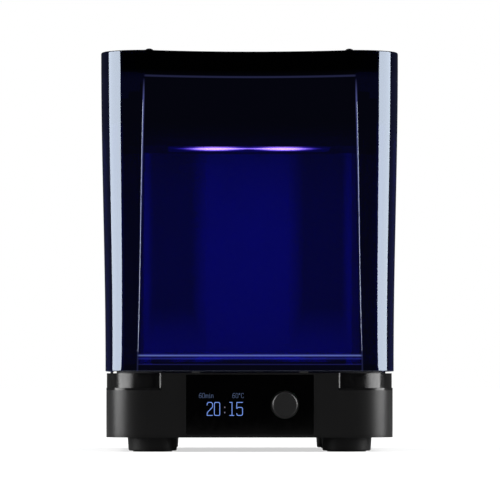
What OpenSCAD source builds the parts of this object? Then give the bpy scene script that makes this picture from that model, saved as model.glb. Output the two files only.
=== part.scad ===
// Light curing unit for a dental laboratory: a low base with a display and a knob, a rear
// column with a lamp head, and a tinted hood that lifts on a hinge at the top of the column.
// The front faces -Y, +Z is up, and the origin lies on the bench under the middle.

/* [Base] */
// Width of the base
base_w = 244; // [232:1:270]
// Distance from the origin to the front face of the base
base_front = 126; // [122:1:140]
// Distance from the origin to the back face of the base
base_back = 130; // [126:1:145]
// Height of the moulded base housing, above its bottom plate
base_h = 52; // [50:1:62]
// Radius of the front corners of the base
base_rf = 34; // [28:1:38]
// Radius of the back corners of the base
base_rb = 26; // [16:1:32]
// Wall of the moulded housings
base_wall = 3; // [2.4:0.1:3.4]
// Thickness of the deck on top of the base
deck_t = 3; // [2.4:0.1:4]
// Thickness of the bottom plate
plate_t = 2.5; // [2:0.1:3.5]

/* [Feet] */
// Height of the feet with their pads
foot_h = 12; // [8:0.5:18]
// Diameter of a foot where it meets the bottom plate
foot_d = 42.6; // [34:0.2:46]
// How much a foot narrows in diameter towards the floor
foot_taper = 1.6; // [0:0.2:4]
// Distance of the feet from the middle, sideways
foot_x = 82.5; // [70:0.5:90]
// Distance of the foot centres from the front and back faces
foot_inset = 28; // [24:1:40]
// Diameter of the rubber pads
pad_d = 33; // [24:1:32]
// How far the pads stand out of the feet
pad_out = 0.8; // [0.4:0.1:2]

/* [Hood] */
// Width of the hood at its top
hood_wt = 253.4; // [248:0.2:262]
// Width of the hood at its rim
hood_wb = 245.3; // [243:0.1:248]
// Height of the hood from its rim to its roof
hood_h = 272; // [262:1:300]
// Wall of the hood
hood_t = 3.5; // [2.8:0.1:4.5]
// Radius of the corner columns at the top of the hood
hood_rt = 38; // [32:1:44]
// Radius of the corner columns at the rim
hood_rb = 28; // [22:1:34]
// How far the front is hollowed between the corner columns
hood_dish = 22; // [12:1:28]
// Height of the straight sill under the hollowed front
sill_h = 12.5; // [9:0.5:18]
// Radius of the edge around the roof
roof_r = 5.5; // [4.8:0.1:8]
// Gap between the rim of the hood and the deck, filled by the rubber pads
rim_gap = 1.5; // [1:0.1:3]
// How far the sides of the hood overlap the column
hood_lap = 13; // [8:1:18]
// Height of the domed caps on the roof
cap_h = 5.5; // [4:0.5:8]
// Diameter of the domed caps
cap_d = 8.4; // [6:0.2:12]

/* [Column and lamp head] */
// Width of the column
col_w = 233; // [228:1:235]
// Depth of the column, front to back
col_d = 37; // [34:1:42]
// Clear height between the column and the roof's outer face
roof_room = 28; // [26:1:34]
// Radius of the back corners of the column
col_rb = 22; // [12:1:26]
// Width of the lamp head
lamp_w = 208; // [196:1:214]
// How far the lamp head reaches in front of the column
lamp_out = 155; // [148:1:162]
// Height of the lamp head
lamp_h = 47; // [46:1:54]
// Wall of the lamp head
lamp_wall = 2.5; // [2:0.1:3]
// Width of the lit window under the lamp head
lens_w = 140; // [128:1:150]
// Depth of the lit window
lens_d = 72; // [70:1:84]
// Distance between the two columns of light sources
led_dx = 60.6; // [48:0.2:70]
// Distance between the two rows of light sources
led_dy = 36; // [34:1:38]
// Number of fins on the heat sink
fins = 15; // [7:1:19]
// Width of the rear cover
cover_w = 180; // [150:1:184]
// Height of the rear cover
cover_h = 222; // [210:1:224]

/* [Hinge] */
// Distance of the two hinges from the middle
hinge_x = 86; // [70:1:92]
// Radius of the hinge pins
pin_r = 3; // [2:0.1:3.5]
// Running clearance of the pins in the hood's arms, on the radius
pin_clear = 0.05; // [0.02:0.01:0.1]
// Radius of the hinge knuckles
knuckle_r = 6.5; // [5.6:0.1:7]
// Thickness of the hood's hinge arms
arm_t = 8; // [5:0.5:10]
// Thickness of the ears beside each arm
ear_t = 4; // [3:0.5:6]

/* [Front panel] */
// Width of the glossy display window
disp_w = 107.8; // [100:0.2:120]
// Thickness of the display window
disp_t = 3; // [2:0.1:3.4]
// Distance of the knob from the middle
knob_x = 29.6; // [27:0.1:36]
// Height of the knob's centre above the bottom plate
knob_up = 25.3; // [23:0.1:27]
// Diameter of the knob
knob_d = 21.2; // [16:0.2:23]
// How far the knob stands out of the front face
knob_out = 4; // [2:0.5:8]
// Travel of the knob when it is pressed
push = 0.8; // [0.4:0.1:1]
// Radius of the encoder's shaft
shaft_r = 3; // [2:0.1:3.5]
// Radius of the finger recesses in the front corners
grip_r = 46; // [42:1:50]
// Depth of the finger recesses behind the front face
grip_deep = 8; // [6:0.5:10]
// Height of the finger recesses
grip_h = 12.5; // [9:0.5:16]
// Distance from the middle to the inner end of the finger recesses
grip_x = 75; // [68:0.5:78]

/* [Chamber] */
// Diameter of the turntable
table_d = 170; // [140:1:180]
// Height of the turntable above the floor tray
table_up = 6.5; // [5:0.5:10]
// Thickness of the turntable
table_t = 3; // [2:0.5:4]
// Height of the floor tray's rim
tray_rim = 6; // [3:0.5:9]
// Thickness of the floor tray
tray_t = 1.5; // [1:0.1:2]
// Thickness of the folded back panel
sheet_t = 1.5; // [1:0.1:2]
// Distance of the chamber's middle from the origin, towards the front
mid_y = 8; // [4:1:12]

/* [Drive, fans and power] */
// Radius of the turntable motor
motor_r = 24; // [18:1:26]
// Height of the turntable motor
motor_h = 25; // [18:1:30]
// Radius of the motor's output shaft
out_r = 3; // [2:0.1:4]
// Side of the heater fan
fan_a = 60; // [50:1:64]
// Thickness of the heater fan
fan_at = 15; // [10:1:18]
// Side of the lamp's cooling fan
fan_b = 35; // [30:1:36]
// Thickness of the lamp's cooling fan
fan_bt = 10; // [8:1:12]
// Thickness of the heater
heater_t = 8.5; // [7:0.5:12]
// Length of the power supply
psu_l = 90; // [70:1:100]
// Width of the power supply
psu_w = 56; // [40:1:60]
// Height of the power supply
psu_h = 28; // [20:1:36]

/* [Hidden] */
$fn = 96;
eps = 0.01;

// Levels, from the bench upwards
z_plate = foot_h;
z_shell = z_plate + plate_t;
z_deck = z_shell + base_h;
z_under = z_deck - deck_t;
z_floor = z_deck + tray_t;
z_rim = z_deck + rim_gap;
z_roof = z_rim + hood_h;
z_inner = z_roof - hood_t;
z_col = z_roof - roof_room;
z_lamp1 = z_col - base_wall;
z_lamp0 = z_lamp1 - lamp_h;
z_lip = z_lamp0 + lamp_wall;
z_table = z_floor + table_up;

// Places along Y
y_col = base_back - col_d;
y_back = base_back - base_wall;
y_side = y_col + hood_lap;
y_disp = -base_front + disp_t;
y_lamp = y_col - lamp_out;
y_pcb = y_disp + 9;
y_knob = -base_front - knob_out;
z_knob = z_shell + knob_up;

// Fits and small gaps
part_gap = 0.15;
knob_gap = 0.5;
arm_gap = 0.3;

// ---- Shared shapes ----

// Outline with two radii, drawn from yf at the front to yb at the back
module plan(w, yf, yb, rf, rb) {
    polygon([[-w / 2, yf + rf], [-w / 2 + rf, yf], [w / 2 - rf, yf], [w / 2, yf + rf],
        [w / 2, yb - rb], [w / 2 - rb, yb], [-w / 2 + rb, yb], [-w / 2, yb - rb]]);
    for (s = [-1, 1]) {
        translate([s * (w / 2 - rf), yf + rf]) circle(rf);
        translate([s * (w / 2 - rb), yb - rb]) circle(rb);
    }
}

// The base's outline, moved inwards by i
module base_plan(i = 0) {
    plan(base_w - 2 * i, -base_front + i, base_back - i, base_rf - i, base_rb - i);
}

// Slab between two levels
module slab(z0, z1) {
    translate([0, 0, z0]) linear_extrude(z1 - z0) children();
}

// Rectangle given by its corners
module rect(x0, y0, x1, y1) {
    translate([x0, y0]) square([x1 - x0, y1 - y0]);
}

// Round rod along Y
module rod_y(r, y0, y1) {
    translate([0, y0, 0]) rotate([-90, 0, 0]) cylinder(r = r, h = y1 - y0);
}

// Folded sheet that follows a list of points, thickness t
module sheet2d(p, t) {
    for (i = [0 : len(p) - 2]) {
        d = p[i + 1] - p[i];
        translate(p[i]) rotate(atan2(d[1], d[0])) translate([0, -t / 2]) square([norm(d), t]);
        translate(p[i + 1]) circle(t / 2);
    }
}

// Copies at the four feet
module at_feet() {
    for (x = [-foot_x, foot_x], y = [-base_front + foot_inset, base_back - foot_inset])
        translate([x, y, 0]) children();
}

// ---- Base ----

screw_r = 1.5;
screw_pos = [[-52, -base_front + 30], [52, -base_front + 30],
    [-base_w / 2 + 14, base_back - 66], [base_w / 2 - 14, base_back - 66],
    [-30, base_back - 14], [30, base_back - 14]];
inlet_x = 62;
inlet_z = z_shell + 24;
inlet_w = 27;
inlet_h = 19;
fan_x = -base_w / 2 + fan_a / 2 + 20;
fan_y = y_col - fan_a / 2 - 18;
slot_n = 6;

// Slots for warm air, over the heater fan and mirrored for the air that returns
module air_slots() {
    for (s = [-1, 1], i = [0 : slot_n - 1])
        translate([s * fan_x, fan_y + (i - (slot_n - 1) / 2) * (fan_a - 14) / slot_n])
            square([fan_a - 18, 3], center = true);
}

// Corner of the base that a finger recess takes, on the left
module grip_zone() {
    difference() {
        intersection() {
            base_plan();
            rect(-base_w / 2 - 1, -base_front - 1, -grip_x,
                -base_front + grip_deep + grip_r);
        }
        translate([-base_w / 2 + grip_r, -base_front + grip_deep + grip_r])
            circle(grip_r - base_wall);
    }
}

// Screw boss from the bottom plate to the deck
module boss() {
    cylinder(r = 3.6, h = z_under - z_shell + eps);
}

module base_shell() {
    color([0.13, 0.13, 0.14]) difference() {
        union() {
            difference() {
                slab(z_shell, z_deck) base_plan();
                slab(z_shell - 1, z_under) base_plan(base_wall);
            }
            for (p = screw_pos) translate([p[0], p[1], z_shell]) boss();
        }
        for (p = screw_pos)
            translate([p[0], p[1], z_shell - 1]) cylinder(r = screw_r + 0.1, h = 14);
        // finger recesses
        for (s = [0, 1]) mirror([s, 0, 0])
            slab(z_deck - grip_h - 2, z_deck + 1) grip_zone();
        // opening for the display window
        translate([-disp_w / 2 - part_gap, -base_front - 1, z_shell - 1])
            cube([disp_w + 2 * part_gap, disp_t + 1, base_h + 1 - 1.2]);
        translate([-disp_w / 2 + 4, -base_front - 1, z_shell - 1])
            cube([disp_w - 8, base_wall + 2, base_h + 1 - deck_t]);
        // turntable drive and air slots
        translate([0, -mid_y, z_under - 1]) cylinder(r = out_r + 4.5, h = deck_t + 2);
        slab(z_under - 1, z_deck + 1) air_slots();
        // power inlet
        translate([inlet_x - inlet_w / 2 - part_gap, y_back - 1,
                inlet_z - inlet_h / 2 - part_gap])
            cube([inlet_w + 2 * part_gap, base_wall + 2, inlet_h + 2 * part_gap]);
        // cable way into the column
        translate([-16, y_col + 9, z_under - 1]) cube([32, 12, deck_t + 2]);
    }
}

module base_plate() {
    color([0.16, 0.16, 0.17]) difference() {
        slab(z_plate, z_shell) base_plan();
        for (p = screw_pos) translate([p[0], p[1], z_plate - 1]) {
            cylinder(r = screw_r + 0.2, h = plate_t + 2);
            cylinder(r = screw_r * 2 + 0.3, h = 1 + plate_t / 2);
        }
        // intake slots under the heater fan
        for (i = [0 : 7]) translate([fan_x, fan_y + (i - 3.5) * 6, z_plate - 1])
            translate([-20, -1.5, 0]) cube([40, 3, plate_t + 2]);
    }
}

module base_screws() {
    color("silver") for (p = screw_pos) translate([p[0], p[1], z_plate + 0.2]) difference() {
        union() {
            cylinder(r = screw_r * 2, h = plate_t / 2 - 0.2);
            cylinder(r = screw_r, h = 12);
        }
        translate([0, 0, -1]) cylinder(r = 1.2, h = 1.8, $fn = 6);
    }
}

module feet() {
    color([0.2, 0.2, 0.21]) at_feet() rotate_extrude() polygon([[0, pad_out + 2],
        [pad_d / 2 + 0.1, pad_out + 2], [pad_d / 2 + 0.1, pad_out],
        [(foot_d - foot_taper) / 2 - 0.8, pad_out], [(foot_d - foot_taper) / 2, pad_out + 0.8],
        [foot_d / 2, foot_h], [0, foot_h]]);
}

module foot_pads() {
    color([0.08, 0.08, 0.08]) at_feet() cylinder(d = pad_d, h = pad_out + 2);
}

// Glossy lining of a finger recess: a curved back wall, a floor and a rounded end
module grip_insert() {
    zf = z_deck - grip_h;
    cy = -base_front + grip_deep + grip_r;
    slab(zf - 2, zf) grip_zone();
    slab(zf - eps, z_deck) intersection() {
        grip_zone();
        translate([-base_w / 2 + grip_r, cy]) circle(grip_r);
    }
    slab(zf - eps, z_deck) difference() {
        rect(-grip_x - 3, -base_front + grip_deep - 3, -grip_x,
            -base_front + grip_deep + 1);
        translate([-grip_x - 3, -base_front + grip_deep - 3]) circle(3);
    }
}

module grip_inserts() {
    color([0.03, 0.03, 0.03]) for (s = [0, 1]) mirror([s, 0, 0]) grip_insert();
}

// ---- Front panel ----

disp_z0 = z_shell;
disp_z1 = z_deck - 1.3;
lcd_w = 50;
lcd_h = 24;
lcd_x = -27;
lcd_z = z_knob;
pcb_z0 = z_shell + 4;
pcb_z1 = z_under - 6;
pcb_w = disp_w - 10;

module display_window() {
    color([0.02, 0.02, 0.02]) difference() {
        union() {
            translate([-disp_w / 2, -base_front, disp_z0])
                cube([disp_w, disp_t, disp_z1 - disp_z0]);
            for (x = [-1, 1], z = [pcb_z0 + 3, pcb_z1 - 3])
                translate([x * (pcb_w / 2 - 3), 0, z]) rod_y(2, y_disp - eps, y_pcb);
        }
        translate([knob_x, 0, z_knob]) rod_y(knob_skirt + knob_gap, -base_front - 1, y_disp + 1);
    }
}

module display_module() {
    color([0.1, 0.16, 0.3]) {
        translate([lcd_x - lcd_w / 2, y_disp, lcd_z - lcd_h / 2]) cube([lcd_w, 4, lcd_h]);
        translate([lcd_x - 20, y_disp + 4 - eps, lcd_z - lcd_h / 2])
            cube([40, y_pcb - y_disp - 4 + eps, 4]);
    }
}

module control_board() {
    color([0.05, 0.3, 0.15]) {
        translate([-pcb_w / 2, y_pcb, pcb_z0]) cube([pcb_w, 1.6, pcb_z1 - pcb_z0]);
        translate([-30, y_pcb + 1.6 - eps, pcb_z0 + 6]) cube([18, 6, 14]);
        translate([6, y_pcb + 1.6 - eps, pcb_z0 + 8]) cube([12, 2, 12]);
        translate([24, y_pcb + 1.6 - eps, pcb_z0 + 6]) cube([22, 7, 8]);
    }
}

knob_skirt = knob_d / 2 + 1.2;
enc_y0 = y_pcb - 7;
shaft_y1 = y_pcb - 2.2;

module encoder_body() {
    color([0.6, 0.6, 0.62]) translate([knob_x, 0, z_knob]) difference() {
        union() {
            translate([-6.5, enc_y0, -6.5]) cube([13, 7, 13]);
            rod_y(shaft_r + 1.6, enc_y0 - 0.4, enc_y0 + 1);
        }
        rod_y(shaft_r + pin_clear, enc_y0 - 1, y_pcb - 0.2);
    }
}

module encoder_plunger() {
    color("gold") translate([knob_x, 0, z_knob]) rod_y(shaft_r - 0.1, shaft_y1, shaft_y1 + 1);
}

module encoder_shaft() {
    color("silver") translate([knob_x, 0, z_knob]) rod_y(shaft_r, y_knob + 1.5, shaft_y1);
}

module knob() {
    r = knob_d / 2;
    color([0.14, 0.14, 0.15]) translate([knob_x, y_knob, z_knob]) rotate([-90, 0, 0])
        rotate_extrude() polygon([[0, 0], [r - 0.9, 0], [r, 0.9], [r, knob_out + 0.4],
            [knob_skirt, knob_out + 0.6], [knob_skirt, knob_out + disp_t - 0.6],
            [shaft_r, knob_out + disp_t - 0.6], [shaft_r, 1.5], [0, 1.5]]);
}

// ---- Chamber floor ----

module rim_pads() {
    h = (hood_t - 0.9) / 2;
    color([0.06, 0.06, 0.06]) slab(z_deck, z_rim) for (s = [-1, 1]) {
        translate([s * 45.6, -base_front + hood_t / 2]) square([7, 2 * h], center = true);
        translate([s * (base_w / 2 - base_wall / 2 - 0.4), y_col - 40])
            square([base_wall - 0.8, 12], center = true);
    }
}

tray_in = hood_t + 6;

module tray_plan(i = 0) {
    plan(hood_wb - 2 * tray_in - 2 * i, -base_front + tray_in + i, y_col - 1 - i,
        20 - i, 6 - i);
}

module floor_tray() {
    color([0.8, 0.8, 0.82]) difference() {
        slab(z_deck, z_floor + tray_rim) tray_plan();
        slab(z_floor, z_floor + tray_rim + 1) tray_plan(tray_t);
        // the rim stops in front of the back panel, which stands on the tray
        slab(z_floor, z_floor + tray_rim + 1) rect(-hood_wb, wing_y - 4, hood_wb, y_col);
        translate([0, -mid_y, z_deck - 1]) cylinder(r = out_r + 4.5, h = tray_t + 2);
        slab(z_deck - 1, z_floor + 1) air_slots();
    }
}

motor_top = z_under;

module turntable_motor() {
    color([0.7, 0.7, 0.72]) translate([0, -mid_y, 0]) difference() {
        union() {
            translate([0, 0, motor_top - 2 - motor_h]) cylinder(r = motor_r, h = motor_h);
            slab(motor_top - 2 - eps, motor_top) difference() {
                rect(-motor_r - 8, -10, motor_r + 8, 10);
                for (s = [-1, 1]) translate([s * (motor_r + 4), 0]) circle(1.7);
            }
            translate([0, 0, motor_top - 2 - motor_h - 6]) cylinder(r = motor_r * 0.55, h = 7);
        }
        translate([0, 0, motor_top - 14]) cylinder(r = out_r + pin_clear, h = 15);
    }
}

module motor_shaft() {
    color("silver") translate([0, -mid_y, motor_top - 14 + 0.2])
        cylinder(r = out_r, h = z_table + table_t - 1 - motor_top + 14 - 0.2);
}

module drive_hub() {
    color([0.15, 0.15, 0.16]) translate([0, -mid_y, z_floor + 1.2]) difference() {
        union() {
            cylinder(r = 14, h = table_up - 1.2);
            cylinder(r = 8, h = table_up - 1.2 + table_t);
        }
        translate([0, 0, -1]) cylinder(r = out_r, h = z_table + table_t - 1 - z_floor - 1.2 + 1);
    }
}

module turntable() {
    r = table_d / 2;
    color([0.85, 0.86, 0.88]) translate([0, -mid_y, z_table]) difference() {
        rotate_extrude() polygon([[8.1, 0], [r - 1.5, 0], [r, 1.5], [r, table_t + 3],
            [r - 2, table_t + 3], [r - 2, table_t], [8.1, table_t]]);
        for (a = [0 : 30 : 359], q = [0.36, 0.6, 0.82]) rotate(a + q * 50)
            translate([r * q, 0, -1]) cylinder(r = 4 + q * 3, h = table_t + 2);
    }
}

// ---- Fans, heater and power ----

// Frame of an axial fan, standing on z = 0 and blowing upwards
module fan_frame(s, t) {
    hub = s * 0.2;
    difference() {
        union() {
            difference() {
                slab(0, t) plan(s, -s / 2, s / 2, 3, 3);
                translate([0, 0, -1]) cylinder(d = s - 3, h = t + 2);
            }
            cylinder(r = hub, h = 2);
            for (a = [45 : 90 : 315]) rotate(a) translate([hub - 1, -1.5, 0])
                cube([s / 2 - hub + 0.4, 3, 2]);
            cylinder(r = 1.5, h = t - 2);
        }
        for (x = [-1, 1], y = [-1, 1])
            translate([x * (s / 2 - 4), y * (s / 2 - 4), -1]) cylinder(r = 1.6, h = t + 2);
    }
}

// Rotor that turns on the frame's pin
module fan_rotor(s, t) {
    hub = s * 0.2;
    difference() {
        union() {
            translate([0, 0, 2.5]) cylinder(r = hub, h = t - 3.5);
            intersection() {
                translate([0, 0, 3]) cylinder(r = s / 2 - 2.5, h = t - 4.5);
                for (a = [0 : 360 / 7 : 359]) rotate(a)
                    translate([hub - 1, 0, t / 2 + 0.75]) rotate([38, 0, 0])
                        translate([0, -0.6, -t]) cube([s / 2, 1.2, 2 * t]);
            }
        }
        translate([0, 0, 1]) cylinder(r = 1.5 + pin_clear, h = t - 2.5);
    }
}

fan_z = z_under - heater_t - fan_at;

module heater_fan_frame() {
    color([0.1, 0.1, 0.1]) translate([fan_x, fan_y, fan_z]) fan_frame(fan_a, fan_at);
}

module heater_fan_rotor() {
    color([0.16, 0.16, 0.17]) translate([fan_x, fan_y, fan_z]) fan_rotor(fan_a, fan_at);
}

module heater() {
    color([0.75, 0.72, 0.68]) translate([fan_x, fan_y, z_under - heater_t]) {
        difference() {
            slab(0, heater_t) plan(fan_a, -fan_a / 2, fan_a / 2, 3, 3);
            slab(-1, heater_t + 1) plan(fan_a - 8, -fan_a / 2 + 4, fan_a / 2 - 4, 2, 2);
        }
        for (i = [-4 : 4]) translate([i * (fan_a - 14) / 9 - 0.5, -fan_a / 2 + 3, 1.5])
            cube([1, fan_a - 6, heater_t - 3]);
        for (y = [-14, 0, 14]) translate([-fan_a / 2 + 3, y, heater_t / 2])
            rotate([0, 90, 0]) cylinder(r = 1.6, h = fan_a - 6);
    }
}

module power_supply() {
    color([0.62, 0.63, 0.64]) translate([base_w / 2 - psu_w - 24, y_col - psu_l - 6, z_shell])
        difference() {
            cube([psu_w, psu_l, psu_h]);
            for (i = [1 : 9]) translate([8, i * psu_l / 10 - 1.2, psu_h - 1])
                cube([psu_w - 16, 2.4, 2]);
        }
}

module power_inlet() {
    color([0.05, 0.05, 0.05]) translate([inlet_x, 0, inlet_z]) {
        difference() {
            union() {
                translate([-inlet_w / 2, y_back - 18, -inlet_h / 2])
                    cube([inlet_w, 18 + base_wall, inlet_h]);
                translate([-inlet_w / 2 - 3, y_back - 2, -inlet_h / 2 - 2.5])
                    cube([inlet_w + 6, 2, inlet_h + 5]);
            }
            translate([-inlet_w / 2 + 1.5, y_back - 12, -inlet_h / 2 + 1.5])
                cube([inlet_w - 3, 13 + base_wall, inlet_h - 3]);
        }
        for (p = [[-7, -2], [7, -2], [0, 3]]) translate([p[0] - 1, y_back - 13, p[1] - 2])
            cube([2, 9, 4]);
    }
}

module lid_sensor() {
    color([0.1, 0.3, 0.15]) translate([-63, -base_front + base_wall + 5, z_under - 4])
        cube([18, 8, 4]);
}

// ---- Column ----

cover_z0 = z_deck + 17.5;
ledge = 4;
cover_screws = [for (x = [-1, 1], z = [8, cover_h / 2, cover_h - 8])
    [x * (cover_w / 2 - 7), cover_z0 + z]];

module col_plan(i = 0) {
    intersection() {
        plan(col_w - 2 * i, y_col + i, base_back - i, 4, col_rb - i);
        rect(-col_w, y_col + i, col_w, base_back);
    }
}

module column_shell() {
    color([0.13, 0.13, 0.14]) difference() {
        union() {
            difference() {
                slab(z_deck, z_col) col_plan();
                slab(z_deck - 1, z_col - base_wall) difference() {
                    union() {
                        col_plan(base_wall);
                        rect(-col_w / 2 + base_wall, y_col - 1, col_w / 2 - base_wall,
                            y_back - col_rb);
                    }
                }
            }
            // frame that the rear cover lies on
            difference() {
                translate([-cover_w / 2 - 2 * ledge, y_back - base_wall, cover_z0 - ledge])
                    cube([cover_w + 4 * ledge, base_wall + eps, cover_h + 2 * ledge]);
                translate([-cover_w / 2 + ledge, y_back - base_wall - 1, cover_z0 + ledge])
                    cube([cover_w - 2 * ledge, base_wall + 2, cover_h - 2 * ledge]);
            }
            for (p = cover_screws) translate([p[0], 0, p[1]])
                rod_y(4.5, y_back - 8, y_back);
        }
        translate([-cover_w / 2 - part_gap, y_back, cover_z0 - part_gap])
            cube([cover_w + 2 * part_gap, base_wall + 1, cover_h + 2 * part_gap]);
        for (p = cover_screws) translate([p[0], 0, p[1]])
            rod_y(screw_r + 0.1, y_back - 9, y_back + 1);
    }
}

module rear_cover() {
    color([0.15, 0.15, 0.16]) difference() {
        translate([-cover_w / 2, y_back, cover_z0]) cube([cover_w, base_wall, cover_h]);
        for (p = cover_screws) translate([p[0], 0, p[1]]) {
            rod_y(screw_r + 0.2, y_back - 1, base_back + 1);
            rod_y(screw_r * 2 + 0.3, base_back - 1.6, base_back + 1);
        }
        // grille over the cooling fan
        for (i = [-3 : 3]) {
            w = 2 * sqrt(pow(fan_b / 2 - 1, 2) - pow(i * fan_b / 8, 2));
            translate([-w / 2, y_back - 1, cool_z + i * fan_b / 8 - 1.3])
                cube([w, base_wall + 2, 2.6]);
        }
        // intake slots lower down
        for (i = [0 : 7], s = [-1, 1]) translate([s * 35 - 26, y_back - 1, cover_z0 + 26 + 7 * i])
            cube([52, base_wall + 2, 3]);
    }
}

module rear_screws() {
    color("silver") for (p = cover_screws) translate([p[0], 0, p[1]]) difference() {
        union() {
            rod_y(screw_r * 2, base_back - 1.6, base_back - 0.1);
            rod_y(screw_r, y_back - 7, base_back - 1);
        }
        translate([0, base_back + 1, 0]) rotate([90, 0, 0]) cylinder(r = 1.2, h = 1.9, $fn = 6);
    }
}

// Folded reflector behind the work: a flat middle, two wings and two flanges
back_y = y_col - 5;
wing_y = y_col - 22;
back_pts = [[-col_w / 2 + 1, y_col - sheet_t / 2], [-col_w / 2 + 6, y_col - sheet_t / 2],
    [-92, wing_y], [-37, back_y], [37, back_y], [92, wing_y],
    [col_w / 2 - 6, y_col - sheet_t / 2], [col_w / 2 - 1, y_col - sheet_t / 2]];

module chamber_back() {
    color([0.82, 0.83, 0.86]) slab(z_floor, z_lamp0) difference() {
        sheet2d(back_pts, sheet_t);
        rect(-col_w, y_col, col_w, y_col + 10);
    }
}

cool_z = z_lip + fan_b / 2;

module cooling_fan_frame() {
    color([0.1, 0.1, 0.1]) translate([0, y_back, cool_z]) rotate([90, 0, 0])
        fan_frame(fan_b, fan_bt);
}

module cooling_fan_rotor() {
    color([0.16, 0.16, 0.17]) translate([0, y_back, cool_z]) rotate([90, 0, 0])
        fan_rotor(fan_b, fan_bt);
}

// ---- Lamp head ----

lens_lip = 4;
refl_h = 10;
z_refl = z_lip + 1.5;
z_board = z_refl + refl_h;

module lamp_housing() {
    y1 = y_back - base_wall;
    color([0.1, 0.1, 0.11]) difference() {
        slab(z_lamp0, z_lamp1) plan(lamp_w, y_lamp, y1, 14, 1);
        slab(z_lip, z_lamp1 - lamp_wall) union() {
            plan(lamp_w - 2 * lamp_wall, y_lamp + lamp_wall, y1 - 10, 14 - lamp_wall, 0.5);
            rect(-lamp_w / 2 + lamp_wall, y1 - 20, lamp_w / 2 - lamp_wall, y1 + 1);
        }
        translate([-lens_w / 2 - part_gap, -mid_y - lens_d / 2 - part_gap, z_lamp0 - 1])
            cube([lens_w + 2 * part_gap, lens_d + 2 * part_gap, lamp_wall + 2]);
        // air way up from the column
        translate([-lens_w / 2, y_col + 6, z_lamp0 - 1])
            cube([lens_w, y1 - y_col - 16, lamp_wall + 2]);
    }
}

module lamp_window() {
    color([0.8, 0.75, 1, 0.6]) translate([0, -mid_y, 0]) {
        slab(z_lamp0 - 1, z_lip + eps) square([lens_w, lens_d], center = true);
        slab(z_lip, z_refl) square([lens_w + 2 * lens_lip, lens_d + 2 * lens_lip], center = true);
    }
}

module at_leds() {
    for (x = [-led_dx / 2, led_dx / 2], y = [-mid_y - led_dy / 2, -mid_y + led_dy / 2])
        translate([x, y, 0]) children();
}

module lamp_reflectors() {
    color([0.88, 0.88, 0.9]) difference() {
        translate([0, -mid_y, 0]) slab(z_refl, z_board)
            square([lens_w + 2 * lens_lip, lens_d + 2 * lens_lip], center = true);
        at_leds() translate([0, 0, z_refl]) rotate_extrude() polygon([[0, -1],
            [led_dy / 2 - 0.8, -1], [led_dy / 2 - 1, 0], [6.5, refl_h], [6.5, refl_h + 1],
            [0, refl_h + 1]]);
    }
}

module led_emitters() {
    color([0.75, 0.65, 1]) at_leds() translate([0, 0, z_board]) rotate_extrude()
        polygon(concat([[0, 0], [5, 0], [5, -1]],
            [for (a = [0 : 15 : 90]) [4 * cos(a), -1 - 3 * sin(a)]]));
}

module led_board() {
    color([0.85, 0.85, 0.82]) translate([0, -mid_y, 0]) slab(z_board, z_board + 1.6)
        square([lens_w + 2 * lens_lip, lens_d + 2 * lens_lip], center = true);
}

module led_heatsink() {
    z0 = z_board + 1.6;
    z1 = z_lamp1 - lamp_wall - 2;
    w = lens_w + 2 * lens_lip;
    d = lens_d + 2 * lens_lip;
    color([0.7, 0.71, 0.73]) translate([0, -mid_y, 0]) {
        slab(z0, z0 + 3) square([w, d], center = true);
        for (i = [0 : fins - 1]) translate([-w / 2 + i * (w - 1.6) / (fins - 1), -d / 2, z0 + 3 - eps])
            cube([1.6, d, z1 - z0 - 3]);
    }
}

// ---- Hinge ----

hinge_y = y_col + 7;
hinge_z = z_col + knuckle_r + 3;
plate_top = z_inner;
plate_bot = z_inner - 2;

module hinge_bracket() {
    w = arm_t + 2 * arm_gap + 2 * ear_t;
    difference() {
        union() {
            translate([-w / 2, hinge_y - 7, z_col]) cube([w, 26, 2.5]);
            for (s = [-1, 1]) translate([s * (arm_t / 2 + arm_gap + ear_t / 2), 0, 0])
                rotate([90, 0, 90]) translate([0, 0, -ear_t / 2]) linear_extrude(ear_t) {
                    translate([hinge_y, hinge_z]) circle(knuckle_r - 0.5);
                    polygon([[hinge_y - 6.5, z_col], [hinge_y + 12, z_col],
                        [hinge_y + knuckle_r - 0.8, hinge_z],
                        [hinge_y - knuckle_r + 0.8, hinge_z]]);
                }
        }
        translate([-w, hinge_y, hinge_z]) rotate([0, 90, 0]) cylinder(r = pin_r, h = 2 * w);
    }
}

module hinge_brackets() {
    color([0.45, 0.45, 0.47]) for (s = [-1, 1]) translate([s * hinge_x, 0, 0]) hinge_bracket();
}

module hinge_pins() {
    l = arm_t + 2 * arm_gap + 2 * ear_t;
    color("silver") for (s = [-1, 1]) translate([s * hinge_x, hinge_y, hinge_z])
        rotate([0, s * 90, 0]) translate([0, 0, -l / 2]) {
            cylinder(r = pin_r, h = l);
            translate([0, 0, l]) cylinder(r = pin_r + 1.2, h = 1.5);
        }
}

// ---- Hood ----

// Smooth step from 0 to 1
function soft(t) = let (u = min(1, max(0, t))) u * u * (3 - 2 * u);

// Half width, front face, corner radius and hollow of the hood at a level
function hood_half(z) = (hood_wb + (hood_wt - hood_wb) * soft((z - z_rim) / hood_h)) / 2;
function hood_face(z) = base_front + hood_half(z) - hood_wb / 2;
function hood_rad(z) = hood_rb + (hood_rt - hood_rb) * min(1, max(0, (z - z_rim) / hood_h));
function hood_hollow(z) = hood_dish * soft((z - z_rim - sill_h) / 6);

arc_n = 11;
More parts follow.
